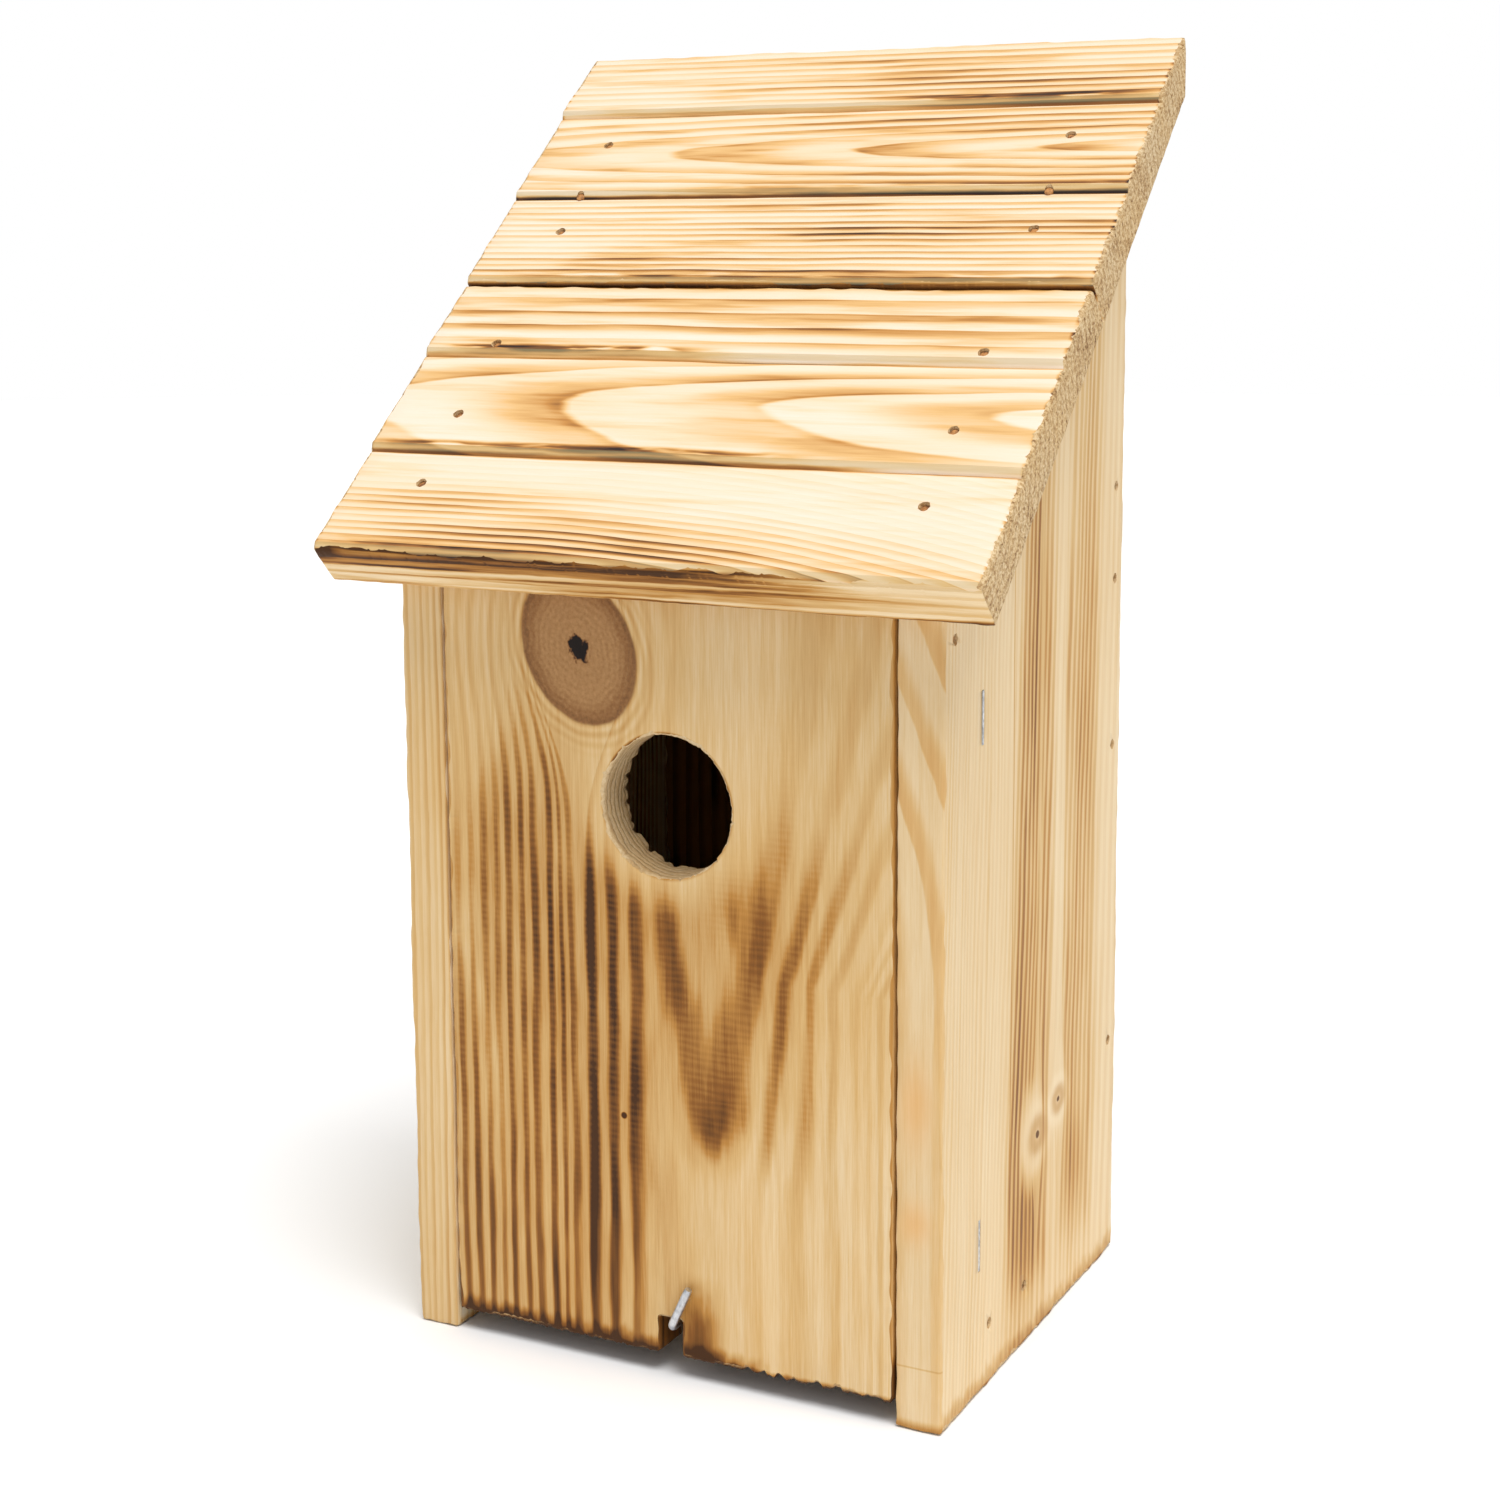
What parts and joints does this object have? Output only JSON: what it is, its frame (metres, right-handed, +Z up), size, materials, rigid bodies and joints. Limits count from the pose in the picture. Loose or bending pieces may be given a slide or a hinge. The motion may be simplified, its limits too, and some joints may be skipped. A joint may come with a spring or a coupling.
{
  "type": "birdhouse",
  "caption": "Scorched softwood nest box with a lean-to roof, a round entrance, and a front door that swings on two pins under the roof and is locked by a turning wire hook.",
  "frame": {"origin": "on the ground under the middle of the box's overall footprint", "axes": "+X right seen from the front, +Y from front to back, +Z up"},
  "size_m": [0.165, 0.1276, 0.3078],
  "materials": {
    "side_wood": "flamed and brushed softwood",
    "back_wood": "flamed and brushed softwood",
    "floor_wood": "planed softwood",
    "stop_wood": "planed softwood",
    "roof_wood": "flamed and brushed softwood",
    "door_wood": "flamed and brushed softwood",
    "zinc_wire": "galvanised",
    "brad_steel": "dull"
  },
  "bodies": {
    "house": {"left_side": "side_wood", "right_side": "side_wood", "back_panel": "back_wood", "floor_panel": "floor_wood", "left_stop": "stop_wood", "right_stop": "stop_wood", "roof_board_front": "roof_wood", "roof_board_rear": "roof_wood", "roof_brads": "brad_steel", "back_brads": "brad_steel", "floor_brads": "brad_steel", "pivot_brads": "brad_steel", "stop_staples": "brad_steel"},
    "door": {"front_door": "door_wood"},
    "hook": {"door_hook": "zinc_wire"}
  },
  "joints": [
    {"name": "door_swing", "type": "hinge", "parent": "house", "child": "door", "pos_m": [0, -0.04422, 0.1755], "axis": [-1, 0, 0], "range_deg": [0, 85]},
    {"name": "hook_turn", "type": "hinge", "parent": "house", "child": "hook", "pos_m": [0.002, -0.03832, 0.0124], "axis": [0, 1, 0], "range_deg": [-25, 155]}
  ]
}
